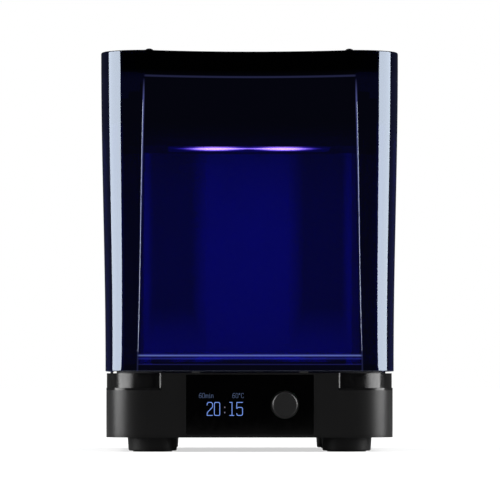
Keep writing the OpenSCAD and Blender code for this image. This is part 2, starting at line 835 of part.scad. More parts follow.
// Right half of a level, from the back edge to the middle of the front, moved in by e
function hood_run(z, zh, e) = let (w = hood_half(z), f = hood_face(z), r = hood_rad(z),
        c = w - r, s = hood_hollow(zh))
    concat([[w - e, y_side, z], [w - e, (y_side - f + r) / 2, z]],
        [for (i = [0 : arc_n]) let (a = 90 * i / arc_n)
            [c + (r - e) * cos(a), r - f - (r - e) * sin(a), z]],
        [for (i = [1 : arc_n]) let (x = c * (1 - i / arc_n))
            [x, e - f + s * (1 - pow(x / c, 2)), z]]);
function mirror_run(p) = [for (i = [len(p) - 2 : -1 : 0]) [-p[i][0], p[i][1], p[i][2]]];
function hood_ring(z, zh, e) = let (p = hood_run(z, zh, e)) concat(p, mirror_run(p));

// Levels: rim, sill step, body, and the rounded edge of the roof
step_n = 6;
body_n = 9;
roof_n = 5;
z_sill = z_rim + sill_h;
z_edge = z_roof - roof_r;
levels = concat([z_rim], [for (i = [0 : step_n]) z_sill + i * 6 / step_n],
    [for (i = [1 : body_n - 1]) z_sill + 6 + i * (z_edge - z_sill - 6) / body_n]);
roof_in = roof_r - hood_t;
outer = concat([for (z = levels) hood_ring(z, z, 0)],
    [for (i = [0 : roof_n]) let (a = 90 * i / roof_n, z = z_edge + roof_r * sin(a))
        hood_ring(z, z, roof_r * (1 - cos(a)))]);
inner = concat([hood_ring(z_rim, z_rim, hood_t)],
    [for (i = [1 : len(levels) - 1]) hood_ring(levels[i] - hood_t, levels[i], hood_t)],
    [for (i = [0 : roof_n]) let (a = 90 * i / roof_n, z = z_inner - roof_in + roof_in * sin(a))
        hood_ring(z, z, hood_t + roof_in * (1 - cos(a)))]);

rings = len(outer);
n = len(outer[0]);
mid = (n - 1) / 2;
ridge = 2 + arc_n;
function o(k, j) = k * n + j;
function v(k, j) = (rings + k) * n + j;
skin = [for (k = [0 : rings - 2], j = [0 : n - 2]) [o(k, j), o(k, j + 1), o(k + 1, j + 1), o(k + 1, j)]];
lining = [for (k = [0 : rings - 2], j = [0 : n - 2]) [v(k, j), v(k + 1, j), v(k + 1, j + 1), v(k, j + 1)]];
rim = [for (j = [0 : n - 2]) [o(0, j), v(0, j), v(0, j + 1), o(0, j + 1)]];
ends = concat([for (k = [0 : rings - 2]) [o(k, 0), o(k + 1, 0), v(k + 1, 0), v(k, 0)]],
    [for (k = [0 : rings - 2]) [o(k, n - 1), v(k, n - 1), v(k + 1, n - 1), o(k + 1, n - 1)]],
    [[o(rings - 1, 0), o(rings - 1, n - 1), v(rings - 1, n - 1), v(rings - 1, 0)]]);
horns = concat([[ridge - 1, ridge, ridge + 1]],
    [for (i = [1 : arc_n - 1]) [ridge - i - 1, ridge - i, ridge + i, ridge + i + 1]]);
flat = concat(horns, [for (h = horns) [for (i = [len(h) - 1 : -1 : 0]) n - 1 - h[i]]],
    [[0, 1, n - 2, n - 1], [1, 2, n - 3, n - 2], [2, mid, n - 3]]);
roof = concat([for (f = flat) [for (i = f) o(rings - 1, i)]],
    [for (f = flat) [for (i = [len(f) - 1 : -1 : 0]) v(rings - 1, f[i])]]);

module hood() {
    color([0.03, 0.06, 0.45, 0.75]) polyhedron(
        points = [for (r = concat(outer, inner), p = r) p],
        faces = concat(skin, lining, rim, ends, roof), convexity = 10);
}

// Plate under the roof with an arm down to each hinge
module hood_bracket() {
    x1 = hinge_x + 12;
    y0 = cap_y[0] - 10;
    y1 = hinge_y - 10;
    color([0.08, 0.08, 0.09]) difference() {
        union() {
            slab(plate_bot, plate_top) difference() {
                plan(2 * x1, y0, y1, 8, 4);
                plan(2 * x1 - 48, y0 + 24, y1 - 24, 8, 8);
            }
            for (s = [-1, 1]) translate([s * hinge_x, 0, 0]) rotate([90, 0, 90])
                translate([0, 0, -arm_t / 2]) linear_extrude(arm_t) {
                    translate([hinge_y, hinge_z]) circle(knuckle_r);
                    polygon([[y1 - 26, plate_bot + eps], [y1, plate_bot + eps],
                        [hinge_y + knuckle_r * 0.7, hinge_z + knuckle_r * 0.7],
                        [hinge_y - knuckle_r * 0.7, hinge_z - knuckle_r * 0.7]]);
                }
        }
        translate([-hinge_x * 2, hinge_y, hinge_z]) rotate([0, 90, 0])
            cylinder(r = pin_r + pin_clear, h = hinge_x * 4);
    }
}

cap_y = [y_lamp - 4, y_col - 34];

module hood_caps() {
    r = cap_d / 2;
    color([0.05, 0.05, 0.05]) for (x = [-hinge_x, hinge_x], y = cap_y) translate([x, y, z_roof])
        rotate_extrude() polygon(concat([[0, 0], [r, 0], [r, cap_h - r * 0.7]],
            [for (a = [10 : 10 : 90]) [r * cos(a), cap_h - r * 0.7 + r * 0.7 * sin(a)]]));
}

module lid_magnet() {
    color([0.7, 0.7, 0.72]) translate([-54, 0, z_rim + 5])
        rod_y(3.5, -base_front + hood_t, -base_front + hood_t + 2.5);
}

base_shell();
base_plate();
feet();
foot_pads();
base_screws();
grip_inserts();
display_window();
display_module();
control_board();
encoder_body();
encoder_plunger();
encoder_shaft();
knob();
rim_pads();
floor_tray();
power_inlet();
power_supply();
turntable_motor();
motor_shaft();
drive_hub();
turntable();
heater();
heater_fan_frame();
heater_fan_rotor();
lid_sensor();
column_shell();
rear_cover();
rear_screws();
chamber_back();
cooling_fan_frame();
cooling_fan_rotor();
hinge_brackets();
hinge_pins();
lamp_housing();
lamp_window();
lamp_reflectors();
led_emitters();
led_board();
led_heatsink();
hood();
hood_bracket();
hood_caps();
lid_magnet();
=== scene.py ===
import bpy, bmesh, math
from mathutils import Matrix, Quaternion, Vector
from mathutils.geometry import tessellate_polygon

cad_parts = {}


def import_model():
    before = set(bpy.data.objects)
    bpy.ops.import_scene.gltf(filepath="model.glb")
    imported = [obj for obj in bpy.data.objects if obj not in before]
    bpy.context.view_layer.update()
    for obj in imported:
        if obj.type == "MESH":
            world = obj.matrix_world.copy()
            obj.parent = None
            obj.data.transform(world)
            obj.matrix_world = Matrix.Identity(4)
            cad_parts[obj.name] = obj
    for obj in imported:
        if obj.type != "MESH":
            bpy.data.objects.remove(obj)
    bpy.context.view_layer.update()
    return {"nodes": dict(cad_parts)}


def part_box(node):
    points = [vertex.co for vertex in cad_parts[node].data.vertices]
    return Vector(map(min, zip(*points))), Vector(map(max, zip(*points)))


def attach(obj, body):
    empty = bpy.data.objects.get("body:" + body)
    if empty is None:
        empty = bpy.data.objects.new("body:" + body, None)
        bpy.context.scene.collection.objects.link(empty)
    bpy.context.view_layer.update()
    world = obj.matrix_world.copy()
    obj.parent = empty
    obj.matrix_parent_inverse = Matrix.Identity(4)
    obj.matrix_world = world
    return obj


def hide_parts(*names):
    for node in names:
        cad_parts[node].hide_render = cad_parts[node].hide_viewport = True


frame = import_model()
scene = bpy.context.scene

# The scene is in metres, with the front towards -Y. What is measured in mm says so.
MM = 0.001
PX_MM = 0.8445                        # mm per pixel of the photograph, at the front face
MIDDLE_PX, BENCH_PX = 250.0, 451.85   # the column of x = 0 and the row of z = 0

# ---------------------------------------------------------------- camera
CAM_PLACE = (-0.040, -4.130, 0.060)
CAM_AIM = (0.0, -0.130, 0.1705)       # the middle of the picture, on the front face

cam_data = bpy.data.cameras.new("cam")
cam_data.lens = 341.0
cam_data.sensor_width = 36.0
cam_data.clip_end = 60.0
cam = bpy.data.objects.new("cam", cam_data)
scene.collection.objects.link(cam)
cam.location = CAM_PLACE
cam.rotation_euler = (Vector(CAM_AIM) - cam.location).to_track_quat("-Z", "Y").to_euler()
scene.camera = cam
scene.view_settings.view_transform = "Standard"


# ---------------------------------------------------------------- materials
class Mat:
    """A material with a few short-hands for its nodes."""

    def __init__(self, name):
        self.m = bpy.data.materials.new(name)
        self.m.use_nodes = True
        self.t = self.m.node_tree
        self.t.nodes.clear()
        self.out = self.add("ShaderNodeOutputMaterial")
        self.co = self.add("ShaderNodeTexCoord").outputs["Object"]

    def add(self, kind, **props):
        n = self.t.nodes.new(kind)
        for k, v in props.items():
            setattr(n, k, v)
        return n

    def link(self, a, b):
        self.t.links.new(a, b)

    def position(self):
        """X, Y and Z in the object's own coordinates."""
        n = self.add("ShaderNodeSeparateXYZ")
        self.link(self.co, n.inputs[0])
        return n.outputs["X"], n.outputs["Y"], n.outputs["Z"]

    def noise(self, scale, detail=3.0, rough=0.55, stretch=None):
        n = self.add("ShaderNodeTexNoise")
        n.inputs["Scale"].default_value = scale
        n.inputs["Detail"].default_value = detail
        n.inputs["Roughness"].default_value = rough
        src = self.co
        if stretch:
            mp = self.add("ShaderNodeMapping")
            mp.inputs["Scale"].default_value = stretch
            self.link(src, mp.inputs["Vector"])
            src = mp.outputs["Vector"]
        self.link(src, n.inputs["Vector"])
        return n.outputs["Fac"]

    def span(self, fac, lo, hi, a=0.3, b=0.7):
        """lo where fac is a, hi where it is b, and in between between them."""
        n = self.add("ShaderNodeMapRange")
        n.inputs["From Min"].default_value = a
        n.inputs["From Max"].default_value = b
        n.inputs["To Min"].default_value = lo
        n.inputs["To Max"].default_value = hi
        self.link(fac, n.inputs["Value"])
        return n.outputs["Result"]

    def math(self, op, a, b=None):
        n = self.add("ShaderNodeMath", operation=op)
        for i, v in enumerate((a, b)):
            if v is None:
                continue
            if isinstance(v, (int, float)):
                n.inputs[i].default_value = v
            else:
                self.link(v, n.inputs[i])
        return n.outputs[0]

    def near(self, a, b, inner, outer, high=1.0, low=0.0):
        """high where a and b are closer than inner, low where they are further apart than outer."""
        return self.span(self.math("ABSOLUTE", self.math("SUBTRACT", a, b)), high, low, inner, outer)

    def ramp(self, fac, stops):
        n = self.add("ShaderNodeValToRGB")
        cr = n.color_ramp
        while len(cr.elements) < len(stops):
            cr.elements.new(0.5)
        for e, (p, c) in zip(cr.elements, stops):
            e.position = p
            e.color = (*c, 1.0)
        self.link(fac, n.inputs["Fac"])
        return n.outputs["Color"]

    def bump(self, fac, strength, distance=0.0002):
        n = self.add("ShaderNodeBump")
        n.inputs["Strength"].default_value = strength
        n.inputs["Distance"].default_value = distance
        self.link(fac, n.inputs["Height"])
        return n.outputs["Normal"]

    def principled(self, **vals):
        p = self.add("ShaderNodeBsdfPrincipled")
        for k, v in vals.items():
            p.inputs[k.replace("_", " ")].default_value = v
        self.link(p.outputs[0], self.out.inputs["Surface"])
        return p

    def sum(self, a, b):
        """Two shaders' light together."""
        n = self.add("ShaderNodeAddShader")
        self.link(a, n.inputs[0])
        self.link(b, n.inputs[1])
        return n.outputs[0]


def shade(c, f):
    return tuple(min(1.0, x * f) for x in c)


def moulded(name, color, rough, grain=1400.0, depth=0.25, vary=0.12, **extra):
    """Moulded plastic: fine spark-eroded grain, slight colour drift and uneven sheen."""
    k = Mat(name)
    p = k.principled(**extra)
    drift = k.noise(9.0, 4.0)
    fine = k.noise(grain, 4.0, 0.6)
    k.link(k.ramp(drift, [(0.3, shade(color, 1 - vary)), (0.7, shade(color, 1 + vary))]), p.inputs["Base Color"])
    sheen = k.math("ADD", k.span(fine, rough - 0.05, rough + 0.05), k.span(drift, -0.03, 0.03))
    k.link(sheen, p.inputs["Roughness"])
    k.link(k.bump(fine, depth, 0.00012), p.inputs["Normal"])
    return k.m


def glossy(name, color, rough=0.06, wave=0.05, **extra):
    """Polished plastic or paint: faint waviness and rub marks."""
    k = Mat(name)
    p = k.principled(**extra)
    slow = k.noise(30.0, 2.0)
    smear = k.noise(240.0, 5.0, 0.65, stretch=(1.0, 1.0, 0.35))
    k.link(k.ramp(slow, [(0.3, shade(color, 0.85)), (0.7, shade(color, 1.15))]), p.inputs["Base Color"])
    k.link(k.span(smear, rough * 0.6, rough * 1.5), p.inputs["Roughness"])
    k.link(k.bump(slow, wave, 0.001), p.inputs["Normal"])
    return k.m


def brushed(name, color, rough, stretch, scale=900.0, depth=0.12):
    """Rolled or brushed metal: long fine lines."""
    k = Mat(name)
    p = k.principled(Metallic=1.0)
    lines = k.noise(scale, 4.0, 0.7, stretch=stretch)
    cloud = k.noise(14.0, 3.0)
    k.link(k.ramp(cloud, [(0.3, shade(color, 0.9)), (0.7, shade(color, 1.05))]), p.inputs["Base Color"])
    sheen = k.math("ADD", k.span(lines, rough - 0.06, rough + 0.08), k.span(cloud, -0.02, 0.02))
    k.link(sheen, p.inputs["Roughness"])
    k.link(k.bump(lines, depth, 0.0001), p.inputs["Normal"])
    return k.m


def folded(name):
    """Matt sheet of the chamber's back, with light and shade painted into its colour: its side folds, which turn
    away from the lamp, are painted darker, and the middle, the folds' outer edges and the foot are painted paler.
    """
    dark, pale = (0.13, 0.13, 0.14), (0.48, 0.48, 0.50)
    k = Mat(name)
    p = k.principled(Specular_IOR_Level=0.2)
    x, _, z = k.position()
    ax = k.math("ABSOLUTE", x)
    # painted light and shade: where edge, middle or foot is high the sheet is painted pale, elsewhere it is painted
    # dark
    edge = k.span(ax, 0.0, 0.85, 0.084, 0.089)
    middle = k.span(ax, 1.0, 0.0, 0.036, 0.050)
    foot = k.span(z, 1.0, 0.0, 0.088, 0.125)
    lit = k.math("MAXIMUM", k.math("MAXIMUM", edge, middle), foot)
    painted_light_tone = k.math("ADD", k.math("MULTIPLY", lit, 0.80), k.math("MULTIPLY", k.noise(22.0, 3.0), 0.04))
    k.link(k.ramp(painted_light_tone, [(0.0, dark), (0.85, pale)]), p.inputs["Base Color"])
    k.link(k.span(k.noise(500.0), 0.45, 0.6), p.inputs["Roughness"])
    k.link(k.bump(k.noise(900.0, 3.0), 0.08), p.inputs["Normal"])
    return k.m


def board_material():
    """Green solder mask over a brick-like net of tracks."""
    k = Mat("solder_mask")
    p = k.principled(Roughness=0.35)
    tracks = k.add("ShaderNodeTexBrick")
    tracks.inputs["Scale"].default_value = 60.0
    tracks.inputs["Mortar Size"].default_value = 0.03
    tracks.inputs["Color1"].default_value = (0.010, 0.085, 0.035, 1)
    tracks.inputs["Color2"].default_value = (0.014, 0.11, 0.045, 1)
    tracks.inputs["Mortar"].default_value = (0.03, 0.17, 0.07, 1)
    k.link(k.co, tracks.inputs["Vector"])
    k.link(tracks.outputs["Color"], p.inputs["Base Color"])
    k.link(k.span(k.noise(300.0), 0.28, 0.45), p.inputs["Roughness"])
    k.link(k.bump(tracks.outputs["Fac"], 0.3, 0.0001), p.inputs["Normal"])
    return k.m


LENS_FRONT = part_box("lamp_window")[0][1]
# Colour of the light by its brightness. Red and green are strong, since the hood takes most of them.
LAMP_COLORS = [
    (0.0, (0.0, 0.0, 0.002)), (0.12, (0.001, 0.001, 0.006)), (0.30, (0.03, 0.025, 0.05)),
    (0.55, (0.32, 0.28, 0.16)), (0.9, (1.0, 1.0, 0.30)),
]


def lamp_glow(name, strength):
    """Frosted lens lit from behind: two bright spots over a violet band that fades to the ends."""
    spot_x, spot_w = 0.0300, 0.0205         # the spots' distance from the middle and half width
    spot_y, spot_d = 0.026, 0.028           # the same from the lens' front edge
    band_y, band_half = 0.016, 0.070
    k = Mat(name)
    p = k.principled(Roughness=0.35)
    frost = [(0.3, (0.09, 0.09, 0.12)), (0.7, (0.11, 0.11, 0.14))]
    k.link(k.ramp(k.noise(500.0), frost), p.inputs["Base Color"])
    k.link(k.span(k.noise(900.0), 0.28, 0.42), p.inputs["Roughness"])
    x, y, _ = k.position()
    ax = k.math("ABSOLUTE", x)
    dx = k.math("DIVIDE", k.math("SUBTRACT", ax, spot_x), spot_w)
    dy = k.math("DIVIDE", k.math("SUBTRACT", y, LENS_FRONT + spot_y), spot_d)
    rr = k.math("ADD", k.math("MULTIPLY", dx, dx), k.math("MULTIPLY", dy, dy))
    spot = k.math("POWER", math.e, k.math("MULTIPLY", rr, -1.0))
    along = k.math("DIVIDE", ax, band_half)
    fade = k.math("MAXIMUM", k.math("SUBTRACT", 1.0, k.math("MULTIPLY", along, along)), 0.0)
    band = k.near(y, LENS_FRONT + band_y, 0.005, 0.015, 0.46, 0.02)
    light = k.math("ADD", k.math("MULTIPLY", spot, 0.85), k.math("MULTIPLY", fade, band))
    k.link(k.ramp(light, LAMP_COLORS), p.inputs["Emission Color"])
    p.inputs["Emission Strength"].default_value = strength
    return k.m


# Where the hood's tint and painted highlights lie, in metres. The ridges beside the hollowed front lean inwards.
RIDGE_X, RIDGE_LEAN = 0.0961, 0.0218        # half distance at z = 0, and what it loses per metre
SIDE_LEAN = 0.0149                          # what the sides spread per metre of height
CREASE_Z = 0.3182                           # top edge of the hollow
BLACK = (0.0, 0.0, 0.0)
SILL_PAINTED_HIGHLIGHTS = [                               # height in mm and colour of the painted highlights along the sill
    (70.00, BLACK), (73.33, BLACK), (73.83, (0.03, 0.03, 0.20)), (74.43, BLACK),
    (78.00, BLACK), (78.60, (0.04, 0.05, 0.40)), (79.20, (0.01, 0.01, 0.10)),
    (80.60, (0.01, 0.01, 0.08)), (81.30, (0.40, 0.55, 1.0)), (81.90, (0.10, 0.12, 0.45)),
    (82.90, BLACK),
]


def tinted(name, pane, column, blocked, rough=0.012, f0=0.05):
    """Clear tinted plastic. Each colour is what passes one skin of it: the pane, the corner
    columns, which are thick, and the blacked out band over the lamp. Highlights are painted
    on as emission along its ridges, the hollow's top edge and the sill, with a faint painted glow."""
    k = Mat(name)
    x, y, z = k.position()
    ax = k.math("ABSOLUTE", x)
    ridge = k.math("SUBTRACT", RIDGE_X, k.math("MULTIPLY", z, RIDGE_LEAN))
    beyond = k.math("SUBTRACT", ax, ridge)
    front = k.span(y, 1.0, 0.0, -0.094, -0.080)
    on_column = k.math("MULTIPLY", k.span(beyond, 0.0, 1.0, -0.0025, 0.0015), front)
    on_pane = k.math("MULTIPLY", front, k.span(beyond, 1.0, 0.0, -0.001, 0.001))

    # what passes it
    cloud = k.span(k.noise(7.0, 2.0), 0.97, 1.03)
    thick = k.math("MULTIPLY", on_column, k.math("MULTIPLY", cloud, 0.6))
    head = k.math("MULTIPLY", k.span(z, 0.0, 1.0, 0.264, 0.280), k.span(on_column, 1.0, 0.80))
    passing = k.add("ShaderNodeBsdfTransparent")
    k.link(k.ramp(k.math("MAXIMUM", thick, head), [(0.0, pane), (0.58, column), (1.0, blocked)]),
           passing.inputs["Color"])

    # what it reflects, more of it at a glancing view
    skin = k.add("ShaderNodeBsdfAnisotropic")
    skin.inputs["Color"].default_value = (0.74, 0.84, 1.0, 1.0)
    k.link(k.span(k.noise(60.0, 3.0), rough * 0.6, rough * 1.5), skin.inputs["Roughness"])
    k.link(k.bump(k.noise(18.0, 1.0), 0.03, 0.002), skin.inputs["Normal"])
    facing = k.add("ShaderNodeLayerWeight")
    facing.inputs["Blend"].default_value = 0.5
    glance = k.math("POWER", facing.outputs["Facing"], 5.0)
    plastic = k.add("ShaderNodeMixShader")
    k.link(k.math("ADD", k.math("MULTIPLY", glance, 0.75), f0), plastic.inputs[0])
    k.link(passing.outputs[0], plastic.inputs[1])
    k.link(skin.outputs[0], plastic.inputs[2])

    # painted highlights along the ridges and the hollow's top edge, and a faint painted glow below that edge, more
    # at the outer sides
    line = k.near(k.math("ADD", ridge, 0.0005), ax, 0.0003, 0.0009)
    line = k.math("MULTIPLY", line, k.math("MULTIPLY", front, k.span(z, 1.0, 0.0, 0.300, 0.316)))
    line = k.math("MULTIPLY", line, k.span(z, 0.15, 1.0, 0.16, 0.30))
    # painted highlight line along the hollow's top edge, over the pane
    crease = k.math("MULTIPLY", k.near(z, CREASE_Z, 0.0004, 0.0012, 0.05), on_pane)
    painted_haze = k.math("MAXIMUM", k.span(z, 0.004, 0.0, 0.316, 0.324), crease)
    # painted glow that grows towards the outer sides
    side = k.math("SUBTRACT", ax, k.math("MULTIPLY", z, SIDE_LEAN))
    painted_haze = k.math("ADD", painted_haze, k.span(side, 0.0, 0.013, 0.1140, 0.1160))
    # emission that paints these highlights and the faint glow onto the plastic
    edges = k.add("ShaderNodeEmission")
    edges.inputs["Color"].default_value = (0.30, 0.34, 1.0, 1.0)
    k.link(k.math("ADD", k.math("MULTIPLY", line, 0.20), painted_haze), edges.inputs["Strength"])

    # painted highlights along the edges of the sill
    sill = k.add("ShaderNodeEmission")
    stops = [(height / 100.0, color) for height, color in SILL_PAINTED_HIGHLIGHTS]
    k.link(k.ramp(k.math("MULTIPLY", z, 10.0), stops), sill.inputs["Color"])
    k.link(k.math("MULTIPLY", on_pane, 0.30), sill.inputs["Strength"])

    lit = k.sum(k.sum(plastic.outputs[0], sill.outputs[0]), edges.outputs[0])
    k.link(lit, k.out.inputs["Surface"])
    return k.m


def dress(material, *nodes):
    for n in nodes:
        o = frame["nodes"][n]
        if not o.material_slots:
            o.data.materials.append(material)
        for s in o.material_slots:
            s.material = material


# the outside
dress(moulded("housing_grain", (0.0060, 0.0060, 0.0061), 0.34, 1500.0, 0.20, Specular_IOR_Level=0.19), "base_shell")
dress(moulded("plate_grain", (0.0065, 0.0065, 0.0066), 0.35, 1300.0, 0.2, Specular_IOR_Level=0.15), "base_plate")
dress(moulded("foot_satin", (0.0085, 0.0085, 0.0087), 0.42, 1600.0, 0.2, Specular_IOR_Level=0.10), "feet")
dress(moulded("rubber", (0.018, 0.018, 0.018), 0.78, 900.0, 0.5, 0.2), "foot_pads", "rim_pads")
dress(glossy("recess_gloss", (0.004, 0.004, 0.0042), 0.17, 0.04, Specular_IOR_Level=0.20), "grip_inserts")
dress(glossy("window_gloss", (0.0006, 0.0006, 0.0007), 0.05, 0.015, Specular_IOR_Level=0.25), "display_window")
dress(moulded("knob_satin", (0.011, 0.011, 0.0112), 0.40, 1900.0, 0.18, Specular_IOR_Level=0.3), "knob")
dress(glossy("cap_gloss", (0.006, 0.006, 0.007), 0.10, 0.03), "hood_caps")
dress(moulded("column_coat", (0.016, 0.016, 0.018), 0.50, 800.0, 0.35), "column_shell")
dress(moulded("powder_coat", (0.020, 0.020, 0.022), 0.55, 700.0, 0.45), "rear_cover", "hood_bracket", "floor_tray")
dress(moulded("inlet_plastic", (0.016, 0.016, 0.017), 0.42), "power_inlet")

# the lamp and the chamber
dress(moulded("lamp_coat", (0.012, 0.012, 0.014), 0.45, 800.0, 0.35), "lamp_housing")
dress(folded("chamber_sheet"), "chamber_back")
dress(brushed("reflector_sheet", (0.62, 0.63, 0.66), 0.30, (0.04, 0.04, 1.0), 700.0, 0.08), "lamp_reflectors")
dress(brushed("aluminium_milled", (0.58, 0.59, 0.61), 0.36, (0.05, 1.0, 1.0), 800.0, 0.2), "led_heatsink")
dress(lamp_glow("lens_lit", 54.0), "lamp_window")
dress(lamp_glow("led_lit", 6.0), "led_emitters")

# the works
dress(board_material(), "control_board", "led_board")
dress(moulded("module_frame", (0.02, 0.02, 0.022), 0.5), "display_module", "encoder_body", "lid_sensor")
dress(moulded("supply_case", (0.05, 0.05, 0.055), 0.5), "power_supply")
dress(moulded("ceramic_body", (0.46, 0.43, 0.37), 0.70, 1200.0, 0.5, 0.08), "heater")
dress(moulded("fan_plastic", (0.016, 0.016, 0.017), 0.38, 1100.0, 0.15),
      "heater_fan_frame", "heater_fan_rotor", "cooling_fan_frame", "cooling_fan_rotor")
dress(brushed("steel_turned", (0.55, 0.55, 0.57), 0.25, (0.05, 1.0, 1.0)),
      "encoder_plunger", "encoder_shaft", "motor_shaft", "hinge_pins")
dress(brushed("steel_brushed", (0.50, 0.51, 0.53), 0.32, (1.0, 1.0, 0.03)),
      "base_screws", "rear_screws", "turntable_motor", "turntable", "hinge_brackets", "lid_magnet")
dress(brushed("brass_turned", (0.62, 0.44, 0.17), 0.28, (1.0, 1.0, 0.05)), "drive_hub")

# The glow is for the eye: the lamps at the end of the script light the chamber.
for lit in ("lamp_window", "led_emitters"):
    frame["nodes"][lit].visible_diffuse = False
    frame["nodes"][lit].visible_glossy = False


# ---------------------------------------------------------------- hood
# The same shape as the node that it stands for, finer, in mm.
W_RIM, W_ROOF = 245.3, 253.4              # widths at the rim and at the roof
R_RIM, R_ROOF = 28.0, 38.0                # corner radii there
Z_RIM, Z_ROOF = 68.0, 340.0
FRONT, Y_REAR = 126.0, 106.0              # front face at the rim, and rear ends of the sides
WALL, DISH = 3.5, 22.0                    # the wall, and how deep the front is hollowed
SILL, SILL_RISE = 12.5, 6.0               # full front above the rim, and the height that the hollow starts in
ROOF_R, ROOF_R_IN = 1.6, 0.6              # edges of the roof, outside and inside
STEP_W, STEP_D = 1.0, 0.6                 # the crease beside each ridge, on the outer face
STEP_OUT = 1.1                            # where it starts, outside the ridge
STEP_TOP, STEP_FADE = 318.0, 7.0          # where it has died out below the roof
SIDE_N, CORNER_N, PANE_N = 14, 26, 11     # segments of a side, a corner and half the pane
RISE_N, BODY_N = 22, 16                   # levels where the hollow starts, and above
BODY_START = 9.0                          # how far above the sill the upper levels start
PANE_START = 13.0                         # how far inside the ridge the pane's even segments start
ROUNDED = 19                              # points beside the ridge that are rounded


def soft(t):
    """A smooth rise from 0 to 1."""
    u = min(1.0, max(0.0, t))
    return u * u * (3 - 2 * u)


def hood_line(zh, e, step):
    """Right half of the hood's outline at height zh, moved in by e, from the rear to the middle."""
    share = (zh - Z_RIM) / (Z_ROOF - Z_RIM)
    w = (W_RIM + (W_ROOF - W_RIM) * soft(share)) / 2
    f = FRONT + w - W_RIM / 2
    r = R_RIM + (R_ROOF - R_RIM) * min(1.0, max(0.0, share))
    c = w - r                                             # the ridge
    s = DISH * soft((zh - Z_RIM - SILL) / SILL_RISE)
    step = step * s / DISH * soft((STEP_TOP - zh) / STEP_FADE)
    pts = [(w - e, Y_REAR + (r - f - Y_REAR) * i / SIDE_N) for i in range(SIDE_N)]
    for i in range(CORNER_N):
        a = math.pi / 2 * i / CORNER_N
        pts.append((c + (r - e) * math.cos(a), r - f - (r - e) * math.sin(a)))
    near = len(pts)
    # Distances outside the ridge, or inside it where below 0: close together over the crease.
    fine = [1.5, 1.3] + [1.15 - 0.125 * i for i in range(16)] + [-1.0, -1.4, -2.0, -3.0, -5.0, -8.0, -PANE_START]
    xs = [c + d for d in fine] + [(c - PANE_START) * (1 - t / PANE_N) for t in range(1, PANE_N + 1)]
    for x in xs:
        y = e - f + s * (1 - (x / c) ** 2) if x < c else r - f - math.sqrt((r - e) ** 2 - (x - c) ** 2)
        pts.append((x, y + step * soft((c + STEP_OUT - x) / STEP_W)))
    for _ in range(2):                                    # the ridge is rounded
        q = list(pts)
        for i in range(near + 1, near + 1 + ROUNDED):
            q[i] = tuple((pts[i - 1][k] + 2 * pts[i][k] + pts[i + 1][k]) / 4 for k in (0, 1))
        pts = q
    return pts


def levels():
    """Heights of the outlines: close together where the hollow starts."""
    sill = Z_RIM + SILL
    low = [Z_RIM + SILL * t for t in (0.35, 0.7)]
    rise = [sill - 1 + (SILL_RISE + 2) * i / RISE_N for i in range(RISE_N + 1)]
    start = sill + BODY_START
    body = [start + (Z_ROOF - ROOF_R - start) * i / BODY_N for i in range(BODY_N + 1)]
    return low + rise + body


def skin(e, rim, roof_r, n, step):
    """Outlines of one skin from the rim to the roof, e inside the outer face. rim gives the height
    and inset of the first ones, and roof_r is the roof's edge in n segments."""
    rows = [[(x, y, z) for x, y in hood_line(Z_RIM, e + d, step)] for z, d in rim]
    for z in levels():
        # The inner skin has each outline e lower, and less than that near the rim.
        low = z - e if z > Z_RIM + SILL - 2 else z - e * (z - Z_RIM) / (SILL - 1)
        if low < Z_ROOF - e - ROOF_R - 0.5:
            rows.append([(x, y, max(low, rim[-1][0] + 0.01)) for x, y in hood_line(z, e, step)])
    for i in range(n + 1):
        a = math.pi / 2 * i / n
        z = Z_ROOF - e - roof_r + roof_r * math.sin(a)
        inset = e + roof_r * (1 - math.cos(a))
        rows.append([(x, y, z) for x, y in hood_line(min(z + e, Z_ROOF), inset, step)])
    return rows


def hood_mesh():
    """Vertices and faces of both skins, the rim between them and the open rear's edges."""
    rim_out = [(Z_RIM, 0.4), (Z_RIM + 0.12, 0.12), (Z_RIM + 0.4, 0.0), (Z_RIM + 0.8, 0.0)]
    rim_in = [(Z_RIM, -0.4), (Z_RIM + 0.4, 0.0), (Z_RIM + 0.8, 0.0)]
    verts, faces = [], []

    def sheet(rows):
        """The faces between both halves of the outlines."""
        ids = []
        for row in rows:
            base = len(verts)
            right = row[:-1]
            whole = right + [(0.0, row[-1][1], row[-1][2])] + [(-x, y, z) for x, y, z in reversed(right)]
            verts.extend(tuple(c * MM for c in p) for p in whole)
            ids.append(list(range(base, base + len(whole))))
        for a, b in zip(ids, ids[1:]):
            for i in range(len(a) - 1):
                faces.append((a[i], a[i + 1], b[i + 1], b[i]))
        return ids

    def cap(poly, axes):
        """Fills an outline that lies in the plane of two axes."""
        flat = [Vector((verts[i][axes[0]], verts[i][axes[1]], 0.0)) for i in poly]
        faces.extend(tuple(poly[j] for j in t) for t in tessellate_polygon([flat]))

    o = sheet(skin(0.0, rim_out, ROOF_R, 6, STEP_D))
    n = sheet(skin(WALL, rim_in, ROOF_R_IN, 3, 0.0))
    cap(o[-1], (0, 1))
    cap(n[-1], (0, 1))
    for i in range(len(o[0]) - 1):                            # the rim
        faces.append((o[0][i], o[0][i + 1], n[0][i + 1], n[0][i]))
    for end in (0, -1):                                       # the rear edges of the sides
        cap([r[end] for r in o] + [r[end] for r in reversed(n)], (0, 2))
    faces.append((o[-1][0], o[-1][-1], n[-1][-1], n[-1][0]))  # the rear edge of the roof
    return verts, faces


